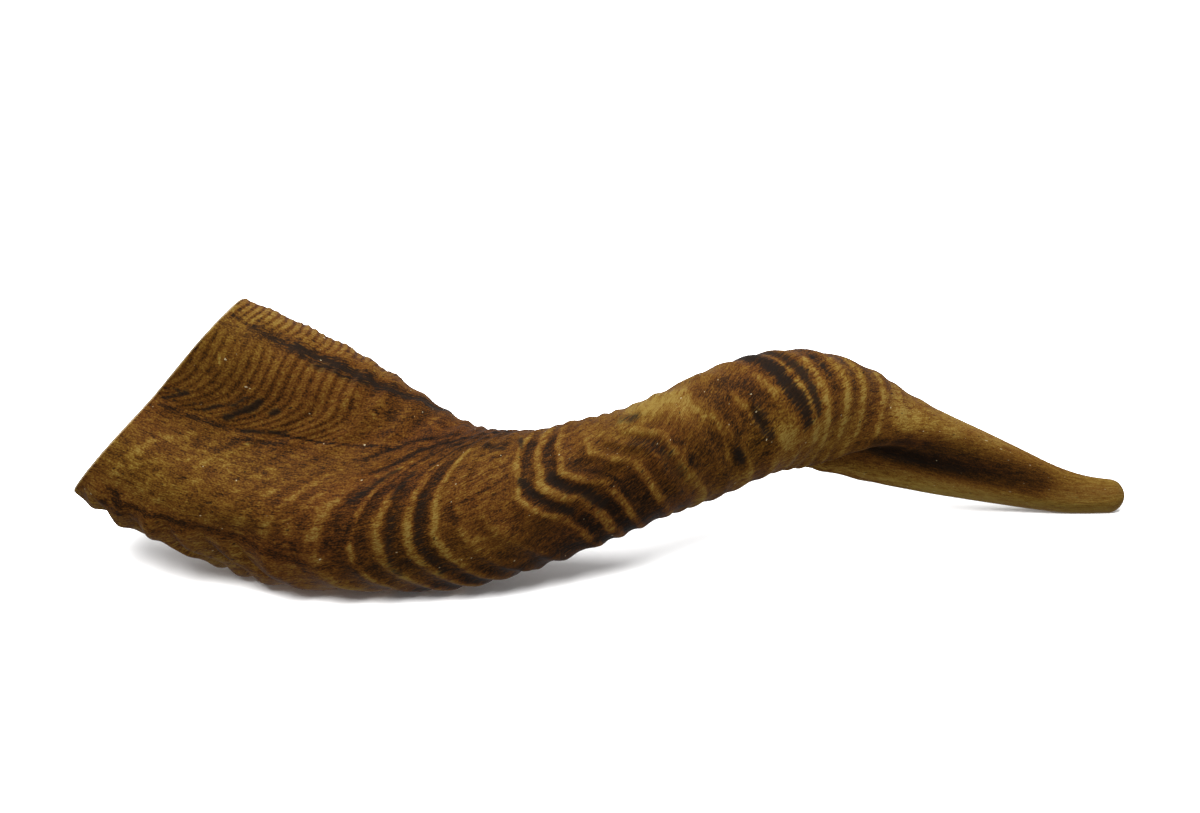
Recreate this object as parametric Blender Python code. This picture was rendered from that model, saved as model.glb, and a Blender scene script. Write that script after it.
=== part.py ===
"""Sheep horn: one curled and ringed horn sheath, sawn off flat at its base and hollow there.

Metres, +Z up, lying on z = 0, with the origin under the middle of its box. The horn is a loft. Its
sections are rounded triangles that turn and shrink along a curled centre line, with a crease on the
inner side of the curl and three keels. The growth rings are raised in the surface. They follow growth
lines, which lie nearest to the base at keel 1 and lean towards the tip on the other faces.

A place on the horn is given by two numbers: along, the length of centre line from its first station,
and around, from 0 to 8, where each whole number is one of the eight lines named below.
"""

import bpy
import numpy as np

COLLECTION_NAME = "sheep_horn"
HORN_NAME = "horn"

# Centre line: x, y and z, then the direction that the crease faces in degrees (0 is -Y, 90 is up, 180 is
# +Y and 270 is down), then half the width of the section. The first station lies beyond the saw cut.
STATIONS = (
    (-0.160, 0.032, 0.0690, 12, 0.0330),
    (-0.122, 0.020, 0.0510, 20, 0.0330),
    (-0.082, 0.010, 0.0355, 35, 0.0325),
    (-0.050, 0.007, 0.0252, 70, 0.0285),
    (-0.025, 0.007, 0.0225, 105, 0.0240),
    (0.002, 0.010, 0.0270, 137, 0.0192),
    (0.028, 0.021, 0.0343, 190, 0.0166),
    (0.054, 0.035, 0.0390, 274, 0.0166),
    (0.076, 0.046, 0.0296, 334, 0.0143),
    (0.096, 0.053, 0.0192, 350, 0.0116),
    (0.116, 0.057, 0.0103, 360, 0.0080),
    (0.132, 0.058, 0.0056, 368, 0.0055),
    (0.145, 0.058, 0.0049, 374, 0.0043),
)

# The eight lines around the horn, in the order of every row of eight below.
LINES = ("crease", "face A", "keel 1", "face B", "keel 2", "face C", "keel 3", "face D")

# Sections at some of the stations. Each line has its distance towards the side that the crease faces,
# then its distance across, in half widths.
SECTIONS = {
    0: ((0.50, 0.00), (0.66, 0.42), (0.60, 0.80), (-0.05, 0.84),
        (-0.76, 0.56), (-0.66, -0.35), (0.05, -0.98), (0.52, -0.60)),
    1: ((0.50, 0.00), (0.66, 0.47), (0.56, 0.89), (-0.08, 0.92),
        (-0.83, 0.62), (-0.66, -0.35), (0.05, -0.98), (0.55, -0.60)),
    2: ((0.50, 0.00), (0.66, 0.52), (0.50, 0.96), (-0.15, 1.04),
        (-0.86, 0.64), (-0.67, -0.35), (0.05, -0.98), (0.58, -0.60)),
    3: ((0.62, 0.00), (0.64, 0.55), (0.30, 1.00), (-0.25, 0.96),
        (-0.79, 0.36), (-0.65, -0.40), (0.05, -0.95), (0.60, -0.61)),
    4: ((0.80, 0.00), (0.66, 0.60), (0.10, 1.00), (-0.42, 0.92),
        (-0.74, 0.40), (-0.58, -0.40), (0.12, -0.94), (0.64, -0.60)),
    5: ((0.76, 0.00), (0.68, 0.58), (0.10, 1.00), (-0.32, 0.93),
        (-0.76, 0.35), (-0.60, -0.38), (0.10, -0.94), (0.64, -0.60)),
    6: ((0.62, 0.00), (0.72, 0.48), (0.30, 0.95), (-0.35, 1.00),
        (-0.85, 0.40), (-0.58, -0.58), (0.22, -0.88), (0.60, -0.50)),
    7: ((0.64, 0.08), (0.86, 0.34), (0.84, 0.66), (0.05, 1.02),
        (-0.92, 0.25), (-0.38, -0.92), (0.66, -0.66), (0.80, -0.30)),
    8: ((0.44, 0.22), (0.62, 0.50), (0.66, 0.84), (-0.05, 1.00),
        (-0.78, 0.35), (-0.55, -0.66), (0.52, -0.68), (0.64, -0.24)),
    9: ((0.50, 0.18), (0.60, 0.52), (0.45, 0.92), (-0.20, 0.95),
        (-0.70, 0.35), (-0.60, -0.55), (0.20, -0.86), (0.56, -0.38)),
    12: ((0.90, 0.00), (0.80, 0.55), (0.00, 1.00), (-0.60, 0.80),
         (-0.95, 0.25), (-0.85, -0.50), (-0.10, -1.00), (0.60, -0.75)),
}

# How far the growth lines lean towards the tip on each of the eight lines, in half widths.
LEANS = {
    0: (0.57, 0.13, 0.00, 0.36, 0.64, 0.78, 0.80, 0.82),
    2: (0.52, 0.07, 0.00, 0.34, 0.64, 0.78, 0.80, 0.82),
    3: (0.62, 0.06, 0.00, 0.32, 0.64, 0.78, 0.79, 0.80),
    4: (0.66, 0.16, 0.00, 0.38, 0.66, 0.80, 0.78, 0.76),
    5: (0.50, 0.20, 0.00, 0.40, 0.60, 0.80, 0.72, 0.66),
    7: (0.45, 0.14, 0.00, 0.30, 0.55, 0.80, 0.62, 0.56),
    12: (0.0, 0.0, 0.0, 0.0, 0.0, 0.0, 0.0, 0.0),
}

# Where they meet in a point at keel 1: how far around from it they run straight, and from which to which
# growth line.
KEEL_1 = 2.0
POINT_REACH = 0.6
POINTED_FROM = 0.116
POINTED_UNTIL = 0.200
POINT_FADE = 0.014

# Where the crest of each growth ring crosses keel 1, and how high the rings stand on each line.
RINGS = (
    0.031, 0.042, 0.053, 0.065, 0.072, 0.081, 0.092, 0.103, 0.111, 0.117, 0.123,
    0.1285, 0.134, 0.141, 0.150, 0.156, 0.162, 0.170, 0.175, 0.180, 0.187, 0.194,
    0.202, 0.209, 0.214, 0.219, 0.225, 0.231, 0.240, 0.248, 0.260, 0.272,
)
RING_HEIGHTS = {
    0: (0.0003, 0.0002, 0.0010, 0.0013, 0.0008, 0.0006, 0.0004, 0.0004),
    2: (0.0004, 0.0003, 0.0008, 0.0011, 0.0009, 0.0007, 0.0005, 0.0005),
    3: (0.0005, 0.0005, 0.0008, 0.0010, 0.0010, 0.0009, 0.0007, 0.0006),
    4: (0.0004, 0.0004, 0.0006, 0.0009, 0.0011, 0.0009, 0.0006, 0.0005),
    5: (0.00035, 0.0004, 0.00055, 0.00065, 0.0008, 0.0007, 0.0005, 0.0004),
    6: (0.0003, 0.0003, 0.0004, 0.00045, 0.0005, 0.00045, 0.0004, 0.0003),
    7: (0.0003, 0.0003, 0.0004, 0.00045, 0.00045, 0.00045, 0.0003, 0.0003),
    9: (0.0, 0.0001, 0.0001, 0.0002, 0.0002, 0.0002, 0.0001, 0.0),
    12: (0.0, 0.0, 0.0, 0.0, 0.0, 0.0, 0.0, 0.0),
}
RINGED_UNTIL = 0.262

# The saw cut at the base: a point of its plane, and the way that it faces, in degrees from +X towards +Y
# and then upwards.
CUT_POINT = (-0.1174, 0.0201, 0.0463)
CUT_HEADING = 162
CUT_RISE = 37
CUT_SEARCH = (0.0, 0.110)
CUT_GROWTH = 0.037
CUT_BLEND = 0.045

# The hollow at the base: the wall at the cut, the place along the horn where the hollow ends, and how
# bluntly it ends.
WALL = 0.0042
HOLLOW_END = 0.150
HOLLOW_TAPER = 0.75

TIP_ROUNDING = 0.004
RINGS_END_ROW_GAP = 0.006
ROWS_IN_A_RING = 4
COLUMNS = 32
HOLLOW_ROWS = 13
TIP_ROWS = 4
DIRECTION_STEP = 0.00005
GROWTH_TRIES = 12
CUT_HALVINGS = 40

COLOUR = (0.135, 0.075, 0.028, 1.0)
ROUGHNESS = 0.5
SHARP_ANGLE = 40


def clear_scene():
    for scene_object in list(bpy.data.objects):
        bpy.data.objects.remove(scene_object, do_unlink=True)


def natural_spline(knots, values, at):
    """The natural cubic spline through rows of values, read at each number of at."""
    count = len(knots)
    gaps = np.diff(knots)
    system = np.eye(count)
    bends = np.zeros(values.shape)
    slopes = np.diff(values, axis=0) / gaps[:, None]
    for row in range(1, count - 1):
        system[row, row - 1] = gaps[row - 1]
        system[row, row] = 2.0 * (gaps[row - 1] + gaps[row])
        system[row, row + 1] = gaps[row]
        bends[row] = 6.0 * (slopes[row] - slopes[row - 1])
    curvature = np.linalg.solve(system, bends)
    piece = np.clip(np.searchsorted(knots, at, side="right") - 1, 0, count - 2)
    gap = gaps[piece][:, None]
    after = (at - knots[piece])[:, None]
    before = gap - after
    curved = (curvature[piece] * before**3 + curvature[piece + 1] * after**3) / (6.0 * gap)
    first = (values[piece] / gap - curvature[piece] * gap / 6.0) * before
    second = (values[piece + 1] / gap - curvature[piece + 1] * gap / 6.0) * after
    return curved + first + second


def closed_spline(values, around):
    """The closed cubic curve through the eight values of each row, read at one place around for each row."""
    count = len(LINES)
    system = 4.0 * np.eye(count) + np.roll(np.eye(count), 1, axis=0) + np.roll(np.eye(count), -1, axis=0)
    turns = 6.0 * (np.roll(values, -1, axis=1) - 2.0 * values + np.roll(values, 1, axis=1))
    curvature = np.einsum("ij,rjk->rik", np.linalg.inv(system), turns)
    rows = np.arange(len(around))
    left = np.floor(around).astype(int) % count
    right = (left + 1) % count
    part = (around - np.floor(around))[:, None]
    curved = (curvature[rows, left] * (1.0 - part) ** 3 + curvature[rows, right] * part**3) / 6.0
    first = (values[rows, left] - curvature[rows, left] / 6.0) * (1.0 - part)
    second = (values[rows, right] - curvature[rows, right] / 6.0) * part
    return curved + first + second


CENTRES = np.array([station[:3] for station in STATIONS])
CREASE_TURNS = np.array([[np.radians(station[3])] for station in STATIONS])
HALF_WIDTHS = np.array([[station[4]] for station in STATIONS])
STEPS = np.linalg.norm(np.diff(CENTRES, axis=0), axis=1)
PLACES = np.concatenate([[0.0], np.cumsum(STEPS)])
LENGTH = PLACES[-1]


def eight_lines(table, along, around):
    """A table of rows at stations, read at places on the horn."""
    knots = PLACES[list(table)]
    rows = np.array([table[station] for station in table]).reshape(len(table), -1)
    values = natural_spline(knots, rows, along).reshape(len(along), len(LINES), -1)
    return closed_spline(values, around)


def smooth_step(value):
    value = np.clip(value, 0.0, 1.0)
    return value * value * (3.0 - 2.0 * value)


def half_width(along):
    """Half the width of the section, rounded off at the tip."""
    width = natural_spline(PLACES, HALF_WIDTHS, along)[:, 0]
    past = np.clip((along - LENGTH + TIP_ROUNDING) / TIP_ROUNDING, 0.0, 1.0)
    return width * np.sqrt(1.0 - past**2)


def section_axes(along):
    """The side that the crease faces and the way across, square to the centre line."""
    ahead = natural_spline(PLACES, CENTRES, along + DIRECTION_STEP)
    behind = natural_spline(PLACES, CENTRES, along - DIRECTION_STEP)
    direction = ahead - behind
    direction /= np.linalg.norm(direction, axis=1, keepdims=True)
    turn = natural_spline(PLACES, CREASE_TURNS, along)[:, 0]
    faced = np.stack([np.zeros(len(turn)), -np.cos(turn), np.sin(turn)], axis=1)
    faced -= (faced * direction).sum(axis=1, keepdims=True) * direction
    faced /= np.linalg.norm(faced, axis=1, keepdims=True)
    return faced, np.cross(direction, faced)


def growth_lean(growth, around):
    """How far along from keel 1 a growth line lies at each place around. On part of the horn the lines
    meet in a point at keel 1."""
    off_keel = around - KEEL_1
    beside = np.where(np.abs(off_keel) < POINT_REACH, KEEL_1 + POINT_REACH * np.sign(off_keel), around)
    curved = eight_lines(LEANS, growth, around)[:, 0]
    straight = eight_lines(LEANS, growth, beside)[:, 0] * np.minimum(np.abs(off_keel) / POINT_REACH, 1.0)
    pointed = smooth_step((growth - POINTED_FROM) / POINT_FADE)
    pointed *= 1.0 - smooth_step((growth - POINTED_UNTIL) / POINT_FADE)
    lean = curved + (straight - curved) * pointed
    return natural_spline(PLACES, HALF_WIDTHS, growth)[:, 0] * lean


def growth_at(along, around):
    """The growth line that passes through each place, named by where it crosses keel 1."""
    growth = along.copy()
    for _ in range(GROWTH_TRIES):
        growth = along - growth_lean(growth, around)
    return growth


def ring_relief(along, around):
    """How far the growth rings raise the surface."""
    growth = np.clip(growth_at(along, around), RINGS[0], RINGS[-1])
    crests = np.array(RINGS)
    ring = np.clip(np.searchsorted(crests, growth, side="right") - 1, 0, len(RINGS) - 2)
    past = (growth - crests[ring]) / (crests[ring + 1] - crests[ring])
    height = np.maximum(eight_lines(RING_HEIGHTS, along, around)[:, 0], 0.0)
    fading = 1.0 - smooth_step((growth - RINGED_UNTIL) / (RINGS[-1] - RINGED_UNTIL))
    return height * fading * (0.5 + 0.5 * np.cos(2.0 * np.pi * past))


def place_section(along, offsets):
    """Points from offsets in the sections: towards the crease's side, then across."""
    faced, across = section_axes(along)
    return natural_spline(PLACES, CENTRES, along) + offsets[:, :1] * faced + offsets[:, 1:] * across


def outside(along, around):
    """Points of the outer surface, with its rings."""
    offsets = eight_lines(SECTIONS, along, around) * half_width(along)[:, None]
    radius = np.linalg.norm(offsets, axis=1, keepdims=True)
    raised = ring_relief(along, around)[:, None]
    return place_section(along, offsets * (1.0 + raised / np.maximum(radius, TIP_ROUNDING)))


def hollow(along, around, taper):
    """Points of the hollow's wall, drawn in towards the centre line by a taper from 1 to 0."""
    offsets = eight_lines(SECTIONS, along, around) * half_width(along)[:, None]
    radius = np.linalg.norm(offsets, axis=1, keepdims=True)
    return place_section(along, offsets * (1.0 - WALL / radius) * taper)


def meet_cut(surface, around):
    """How far along each line of a surface meets the saw cut, by halving."""
    heading, rise = np.radians(CUT_HEADING), np.radians(CUT_RISE)
    normal = (np.cos(heading) * np.cos(rise), np.sin(heading) * np.cos(rise), np.sin(rise))
    low = np.full(len(around), CUT_SEARCH[0])
    high = np.full(len(around), CUT_SEARCH[1])
    for _ in range(CUT_HALVINGS):
        middle = (low + high) / 2.0
        sawn_away = (surface(middle, around) - CUT_POINT) @ np.array(normal) > 0.0
        low = np.where(sawn_away, middle, low)
        high = np.where(sawn_away, high, middle)
    return (low + high) / 2.0


def growth_rows():
    """Growth values of the rows: each ring gets its crest, its two flanks and its valley."""
    rows = [CUT_GROWTH]
    for crest, following in zip(RINGS, RINGS[1:]):
        if crest > CUT_GROWTH:
            gap = (following - crest) / ROWS_IN_A_RING
            rows.extend(crest + gap * row for row in range(ROWS_IN_A_RING))
    last = LENGTH - TIP_ROUNDING
    count = int((last - RINGS[-1]) / RINGS_END_ROW_GAP)
    rows.extend(RINGS[-1] + (last - RINGS[-1]) * row / count for row in range(count + 1))
    return rows


def outer_rows(around):
    """Rows of the outer surface, from the saw cut to just before the tip's end point."""
    at_cut = meet_cut(outside, around)
    first = np.full(len(around), CUT_GROWTH)
    to_cut = at_cut - first - growth_lean(first, around)
    rows = []
    for growth in growth_rows():
        line = np.full(len(around), growth)
        along = line + growth_lean(line, around)
        along += to_cut * (1.0 - smooth_step((growth - CUT_GROWTH) / CUT_BLEND))
        rows.append(outside(np.minimum(along, LENGTH - TIP_ROUNDING), around))
    for row in range(1, TIP_ROWS + 1):
        past = TIP_ROUNDING * np.sin(0.5 * np.pi * row / (TIP_ROWS + 1))
        rows.append(outside(np.full(len(around), LENGTH - TIP_ROUNDING + past), around))
    return rows


def hollow_rows(around):
    """Rows of the hollow, from just before its inner end back to the saw cut."""

    def open_hollow(along, at_around):
        return hollow(along, at_around, 1.0)

    at_cut = meet_cut(open_hollow, around)
    rows = []
    for row in range(HOLLOW_ROWS):
        depth = 1.0 - (row + 1) / HOLLOW_ROWS
        along = at_cut + (HOLLOW_END - at_cut) * depth
        rows.append(hollow(along, around, (1.0 - depth) ** HOLLOW_TAPER))
    return rows


def set_down(points):
    """The points moved so that the origin is under the middle of their box, on the ground."""
    low, high = points.min(axis=0), points.max(axis=0)
    return points - ((low[0] + high[0]) / 2.0, (low[1] + high[1]) / 2.0, low[2])


def horn_material():
    material = bpy.data.materials.new("horn")
    material.use_nodes = True
    shader = material.node_tree.nodes["Principled BSDF"]
    shader.inputs["Base Color"].default_value = COLOUR
    shader.inputs["Roughness"].default_value = ROUGHNESS
    shader.inputs["Metallic"].default_value = 0.0
    return material


def build_horn(collection):
    """One closed surface: end of the hollow, hollow, rim of the saw cut, outer surface, end of the tip."""
    around = np.arange(COLUMNS) * len(LINES) / COLUMNS
    rows = hollow_rows(around) + outer_rows(around)
    ends = natural_spline(PLACES, CENTRES, np.array([HOLLOW_END, LENGTH]))
    points = set_down(np.concatenate(rows + [ends]))
    hollow_end, tip_end = len(points) - 2, len(points) - 1
    faces = []
    for column in range(COLUMNS):
        beside = (column + 1) % COLUMNS
        faces.append((hollow_end, beside, column))
        for row in range(len(rows) - 1):
            start, following = row * COLUMNS, (row + 1) * COLUMNS
            faces.append((start + column, start + beside, following + beside, following + column))
        last = (len(rows) - 1) * COLUMNS
        faces.append((last + column, last + beside, tip_end))
    mesh = bpy.data.meshes.new(HORN_NAME)
    mesh.from_pydata(points.tolist(), [], faces)
    mesh.materials.append(horn_material())
    mesh.shade_smooth()
    mesh.set_sharp_from_angle(angle=np.radians(SHARP_ANGLE))
    horn = bpy.data.objects.new(HORN_NAME, mesh)
    collection.objects.link(horn)
    return horn


def main():
    clear_scene()
    collection = bpy.data.collections.new(COLLECTION_NAME)
    bpy.context.scene.collection.children.link(collection)
    build_horn(collection)


if __name__ == "__main__":
    main()
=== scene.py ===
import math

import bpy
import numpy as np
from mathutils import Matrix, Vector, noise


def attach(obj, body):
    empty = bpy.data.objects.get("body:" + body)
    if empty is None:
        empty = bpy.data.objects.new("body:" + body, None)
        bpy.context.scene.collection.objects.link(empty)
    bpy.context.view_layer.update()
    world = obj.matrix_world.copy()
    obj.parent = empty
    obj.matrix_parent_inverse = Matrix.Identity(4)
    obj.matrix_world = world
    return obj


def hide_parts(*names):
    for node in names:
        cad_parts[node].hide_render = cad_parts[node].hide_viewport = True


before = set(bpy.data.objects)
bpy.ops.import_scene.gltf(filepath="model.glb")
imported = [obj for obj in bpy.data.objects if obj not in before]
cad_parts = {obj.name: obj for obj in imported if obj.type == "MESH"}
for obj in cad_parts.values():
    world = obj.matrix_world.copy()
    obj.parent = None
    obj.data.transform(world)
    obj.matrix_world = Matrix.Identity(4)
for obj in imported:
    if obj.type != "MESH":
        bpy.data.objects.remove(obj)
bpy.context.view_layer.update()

# A sheep horn, dressed for the picture. The skin is one fine mesh over the imported node, with the same
# stations, sections and growth rings, and with the fine ridges, wear and pits that the node leaves out.
# Its markings are painted by rule on the vertices: light ring crests, dark bands beside them, streaks
# and patches, with painted shadow in part of the crease and a few painted glints. The material's nodes add
# fibres, blotches, dust, gloss and the fine ridges' painted shade and light.
#
# A place on the horn is given by two numbers: along, the length of centre line from its first station,
# and around, from 0 to 8: crease 0, face A 1, keel 1 2, face B 3, keel 2 4, face C 5, keel 3 6, face D 7.

MM = 0.001

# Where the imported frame's origin lies in the stations' own coordinates.
ORIGIN = (0.003604, 0.019554, 0.000054)

# Centre line: x, y and z, then the direction that the crease faces in degrees, then half the width.
STATIONS = (
    (-0.16, 0.032, 0.069, 12, 0.033),
    (-0.122, 0.02, 0.051, 20, 0.033),
    (-0.082, 0.01, 0.0355, 35, 0.0325),
    (-0.05, 0.007, 0.0252, 70, 0.0285),
    (-0.025, 0.007, 0.0225, 105, 0.024),
    (0.002, 0.01, 0.027, 137, 0.0192),
    (0.028, 0.021, 0.0343, 190, 0.0166),
    (0.054, 0.035, 0.039, 274, 0.0166),
    (0.076, 0.046, 0.0296, 334, 0.0143),
    (0.096, 0.053, 0.0192, 350, 0.0116),
    (0.116, 0.057, 0.0103, 360, 0.008),
    (0.132, 0.058, 0.0056, 368, 0.0055),
    (0.145, 0.058, 0.0049, 374, 0.0043),
)
LINES = ("crease", "face A", "keel 1", "face B", "keel 2", "face C", "keel 3", "face D")

# Sections at some of the stations: towards the side that the crease faces, then across, in half widths.
SECTIONS = {
    0: ((0.5, 0.0), (0.66, 0.42), (0.6, 0.8), (-0.05, 0.84),
        (-0.76, 0.56), (-0.66, -0.35), (0.05, -0.98), (0.52, -0.6)),
    1: ((0.5, 0.0), (0.66, 0.47), (0.56, 0.89), (-0.08, 0.92),
        (-0.83, 0.62), (-0.66, -0.35), (0.05, -0.98), (0.55, -0.6)),
    2: ((0.5, 0.0), (0.66, 0.52), (0.5, 0.96), (-0.15, 1.04),
        (-0.86, 0.64), (-0.67, -0.35), (0.05, -0.98), (0.58, -0.6)),
    3: ((0.62, 0.0), (0.64, 0.55), (0.3, 1.0), (-0.25, 0.96),
        (-0.79, 0.36), (-0.65, -0.4), (0.05, -0.95), (0.6, -0.61)),
    4: ((0.8, 0.0), (0.66, 0.6), (0.1, 1.0), (-0.42, 0.92),
        (-0.74, 0.4), (-0.58, -0.4), (0.12, -0.94), (0.64, -0.6)),
    5: ((0.76, 0.0), (0.68, 0.58), (0.1, 1.0), (-0.32, 0.93),
        (-0.76, 0.35), (-0.6, -0.38), (0.1, -0.94), (0.64, -0.6)),
    6: ((0.62, 0.0), (0.72, 0.48), (0.3, 0.95), (-0.35, 1.0),
        (-0.85, 0.4), (-0.58, -0.58), (0.22, -0.88), (0.6, -0.5)),
    7: ((0.64, 0.08), (0.86, 0.34), (0.84, 0.66), (0.05, 1.02),
        (-0.92, 0.25), (-0.38, -0.92), (0.66, -0.66), (0.8, -0.3)),
    8: ((0.44, 0.22), (0.62, 0.5), (0.66, 0.84), (-0.05, 1.0),
        (-0.78, 0.35), (-0.55, -0.66), (0.52, -0.68), (0.64, -0.24)),
    9: ((0.5, 0.18), (0.6, 0.52), (0.45, 0.92), (-0.2, 0.95),
        (-0.7, 0.35), (-0.6, -0.55), (0.2, -0.86), (0.56, -0.38)),
    12: ((0.9, 0.0), (0.8, 0.55), (0.0, 1.0), (-0.6, 0.8),
         (-0.95, 0.25), (-0.85, -0.5), (-0.1, -1.0), (0.6, -0.75)),
}

# How far the growth lines lean towards the tip on each of the eight lines, in half widths.
LEANS = {
    0: (0.57, 0.13, 0.0, 0.36, 0.64, 0.78, 0.8, 0.82),
    2: (0.52, 0.07, 0.0, 0.34, 0.64, 0.78, 0.8, 0.82),
    3: (0.62, 0.06, 0.0, 0.32, 0.64, 0.78, 0.79, 0.8),
    4: (0.66, 0.16, 0.0, 0.38, 0.66, 0.8, 0.78, 0.76),
    5: (0.5, 0.2, 0.0, 0.4, 0.6, 0.8, 0.72, 0.66),
    7: (0.45, 0.14, 0.0, 0.3, 0.55, 0.8, 0.62, 0.56),
    12: (0.0, 0.0, 0.0, 0.0, 0.0, 0.0, 0.0, 0.0),
}

# Where they meet in a point at keel 1: how far around from it they run straight, and from which to which
# growth line.
KEEL_1 = 2.0
POINT_REACH = 0.6
POINTED_FROM = 0.116
POINTED_UNTIL = 0.200
POINT_FADE = 0.014

# Where the crest of each growth ring crosses keel 1, and how high the rings stand on each line.
RINGS = (
    0.031, 0.042, 0.053, 0.065, 0.072, 0.081, 0.092, 0.103, 0.111, 0.117, 0.123,
    0.1285, 0.134, 0.141, 0.15, 0.156, 0.162, 0.17, 0.175, 0.18, 0.187, 0.194,
    0.202, 0.209, 0.214, 0.219, 0.225, 0.231, 0.24, 0.248, 0.26, 0.272,
)
RING_HEIGHTS = {
    0: (0.0003, 0.0002, 0.001, 0.0013, 0.0008, 0.0006, 0.0004, 0.0004),
    2: (0.0004, 0.0003, 0.0008, 0.0011, 0.0009, 0.0007, 0.0005, 0.0005),
    3: (0.0005, 0.0005, 0.0008, 0.001, 0.001, 0.0009, 0.0007, 0.0006),
    4: (0.0004, 0.0004, 0.0006, 0.0009, 0.0011, 0.0009, 0.0006, 0.0005),
    5: (0.00035, 0.0004, 0.00055, 0.00065, 0.0008, 0.0007, 0.0005, 0.0004),
    6: (0.0003, 0.0003, 0.0004, 0.00045, 0.0005, 0.00045, 0.0004, 0.0003),
    7: (0.0003, 0.0003, 0.0004, 0.00045, 0.00045, 0.00045, 0.0003, 0.0003),
    9: (0.0, 0.0001, 0.0001, 0.0002, 0.0002, 0.0002, 0.0001, 0.0),
    12: (0.0, 0.0, 0.0, 0.0, 0.0, 0.0, 0.0, 0.0),
}
RINGED_UNTIL = 0.262
RING_SHARPNESS = 1.35

# The saw cut at the base, and the hollow.
CUT_POINT = (-0.1174, 0.0201, 0.0463)
CUT_HEADING = 162
CUT_RISE = 37
CUT_SEARCH = (0.0, 0.110)
CUT_GROWTH = 0.037
CUT_BLEND = 0.045
WALL = 0.0042
HOLLOW_END = 0.150
HOLLOW_TAPER = 0.75
TIP_ROUNDING = 0.004

COLUMNS = 168
ROWS_UNTIL_SMOOTH = 460
SMOOTH_ROWS = 60
HOLLOW_ROWS = 30
RIM_ROWS = 5
RIM_EDGE = 0.0004
TIP_ROWS = 6
STRAIGHT_RADIUS = 0.025


def natural_spline(knots, values, at):
    """The natural cubic spline through rows of values, read at each number of at."""
    count = len(knots)
    gaps = np.diff(knots)
    system = np.eye(count)
    bends = np.zeros(values.shape)
    slopes = np.diff(values, axis=0) / gaps[:, None]
    for row in range(1, count - 1):
        system[row, row - 1] = gaps[row - 1]
        system[row, row] = 2.0 * (gaps[row - 1] + gaps[row])
        system[row, row + 1] = gaps[row]
        bends[row] = 6.0 * (slopes[row] - slopes[row - 1])
    curvature = np.linalg.solve(system, bends)
    piece = np.clip(np.searchsorted(knots, at, side="right") - 1, 0, count - 2)
    gap = gaps[piece][:, None]
    after = (at - knots[piece])[:, None]
    before = gap - after
    curved = (curvature[piece] * before**3 + curvature[piece + 1] * after**3) / (6.0 * gap)
    first = (values[piece] / gap - curvature[piece] * gap / 6.0) * before
    second = (values[piece + 1] / gap - curvature[piece + 1] * gap / 6.0) * after
    return curved + first + second


def closed_spline(values, around):
    """The closed cubic curve through the eight values of each row, read at one place around for each."""
    count = len(LINES)
    system = 4.0 * np.eye(count) + np.roll(np.eye(count), 1, axis=0) + np.roll(np.eye(count), -1, axis=0)
    turns = 6.0 * (np.roll(values, -1, axis=1) - 2.0 * values + np.roll(values, 1, axis=1))
    curvature = np.einsum("ij,rjk->rik", np.linalg.inv(system), turns)
    rows = np.arange(len(around))
    left = np.floor(around).astype(int) % count
    right = (left + 1) % count
    part = (around - np.floor(around))[:, None]
    curved = (curvature[rows, left] * (1.0 - part) ** 3 + curvature[rows, right] * part**3) / 6.0
    first = (values[rows, left] - curvature[rows, left] / 6.0) * (1.0 - part)
    second = (values[rows, right] - curvature[rows, right] / 6.0) * part
    return curved + first + second


CENTRES = np.array([station[:3] for station in STATIONS])
CREASE_TURNS = np.array([[math.radians(station[3])] for station in STATIONS])
HALF_WIDTHS = np.array([[station[4]] for station in STATIONS])
STEPS = np.linalg.norm(np.diff(CENTRES, axis=0), axis=1)
PLACES = np.concatenate([[0.0], np.cumsum(STEPS)])
LENGTH = PLACES[-1]


def eight_lines(table, along, around):
    """A table of rows at stations, read at places on the horn."""
    knots = PLACES[list(table)]
    rows = np.array([table[station] for station in table], dtype=float).reshape(len(table), -1)
    values = natural_spline(knots, rows, along).reshape(len(along), len(LINES), -1)
    return closed_spline(values, around)


def smooth_step(value):
    value = np.clip(value, 0.0, 1.0)
    return value * value * (3.0 - 2.0 * value)


def half_width(along):
    """Half the width of the section, rounded off at the tip."""
    width = natural_spline(PLACES, HALF_WIDTHS, along)[:, 0]
    past = np.clip((along - LENGTH + TIP_ROUNDING) / TIP_ROUNDING, 0.0, 1.0)
    return width * np.sqrt(1.0 - past**2)


def section_axes(along):
    """The side that the crease faces and the way across, square to the centre line."""
    small = 0.00005
    ahead = natural_spline(PLACES, CENTRES, along + small)
    behind = natural_spline(PLACES, CENTRES, along - small)
    direction = ahead - behind
    direction /= np.linalg.norm(direction, axis=1, keepdims=True)
    turn = natural_spline(PLACES, CREASE_TURNS, along)[:, 0]
    faced = np.stack([np.zeros(len(turn)), -np.cos(turn), np.sin(turn)], axis=1)
    faced -= (faced * direction).sum(axis=1, keepdims=True) * direction
    faced /= np.linalg.norm(faced, axis=1, keepdims=True)
    return faced, np.cross(direction, faced)


def growth_lean(growth, around):
    """How far along from keel 1 a growth line lies at each place around. On part of the horn the lines
    meet in a point at keel 1."""
    off_keel = around - KEEL_1
    beside = np.where(np.abs(off_keel) < POINT_REACH, KEEL_1 + POINT_REACH * np.sign(off_keel), around)
    curved = eight_lines(LEANS, growth, around)[:, 0]
    straight = eight_lines(LEANS, growth, beside)[:, 0] * np.minimum(np.abs(off_keel) / POINT_REACH, 1.0)
    pointed = smooth_step((growth - POINTED_FROM) / POINT_FADE)
    pointed *= 1.0 - smooth_step((growth - POINTED_UNTIL) / POINT_FADE)
    lean = curved + (straight - curved) * pointed
    return natural_spline(PLACES, HALF_WIDTHS, growth)[:, 0] * lean


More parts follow.
